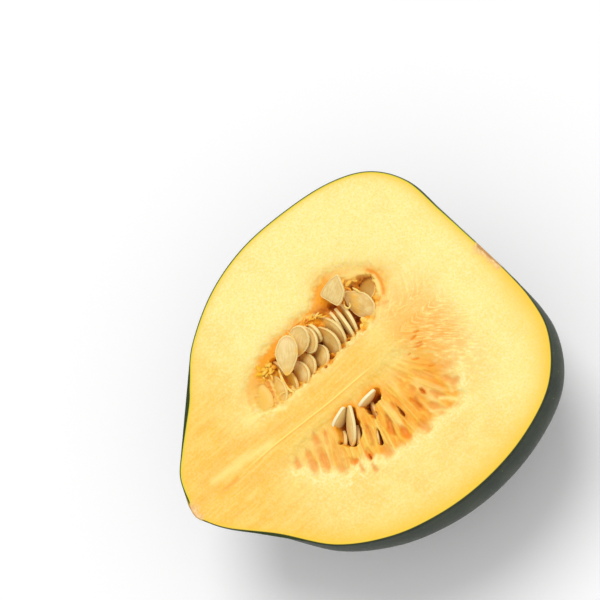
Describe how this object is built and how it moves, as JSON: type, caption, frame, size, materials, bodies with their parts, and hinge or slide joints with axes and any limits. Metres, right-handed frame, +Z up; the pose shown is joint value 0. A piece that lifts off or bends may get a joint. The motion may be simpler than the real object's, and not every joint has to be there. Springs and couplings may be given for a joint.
{
  "type": "acorn squash half",
  "caption": "Half of a ribbed dark green acorn squash, cut lengthwise, with pale yellow flesh and its seeds still in the two fibrous beds, lying on its rounded back.",
  "frame": {"origin": "under the middle of the half, on the surface that its rounded back rests on", "axes": "+X from the blossom tip to the stem end, +Y across the cut face, +Z up out of the cut face"},
  "size_m": [0.1534, 0.1398, 0.0738],
  "materials": {
    "rind": "satin, waxy, near-black green with pale flecks",
    "flesh": "moist cut flesh, fine grained, golden beside the rind",
    "pulp": "wet orange fibres and thin pale membranes",
    "cork": "dry, corky scar",
    "seed_coat": "satin, with a raised paler margin"
  },
  "bodies": {
    "root": {"squash_half": "rind", "upper_seed_01": "seed_coat", "upper_seed_02": "seed_coat", "upper_seed_03": "seed_coat", "upper_seed_04": "seed_coat", "upper_seed_05": "seed_coat", "upper_seed_06": "seed_coat", "upper_seed_07": "seed_coat", "upper_seed_08": "seed_coat", "upper_seed_09": "seed_coat", "upper_seed_10": "seed_coat", "upper_seed_11": "seed_coat", "upper_seed_12": "seed_coat", "upper_seed_13": "seed_coat", "upper_seed_14": "seed_coat", "upper_seed_15": "seed_coat", "upper_seed_16": "seed_coat", "upper_seed_17": "seed_coat", "upper_seed_18": "seed_coat", "upper_seed_19": "seed_coat", "lower_seed_01": "seed_coat", "lower_seed_02": "seed_coat", "lower_seed_03": "seed_coat", "lower_seed_04": "seed_coat", "lower_seed_05": "seed_coat", "lower_seed_06": "seed_coat", "lower_seed_07": "seed_coat"}
  },
  "joints": []
}
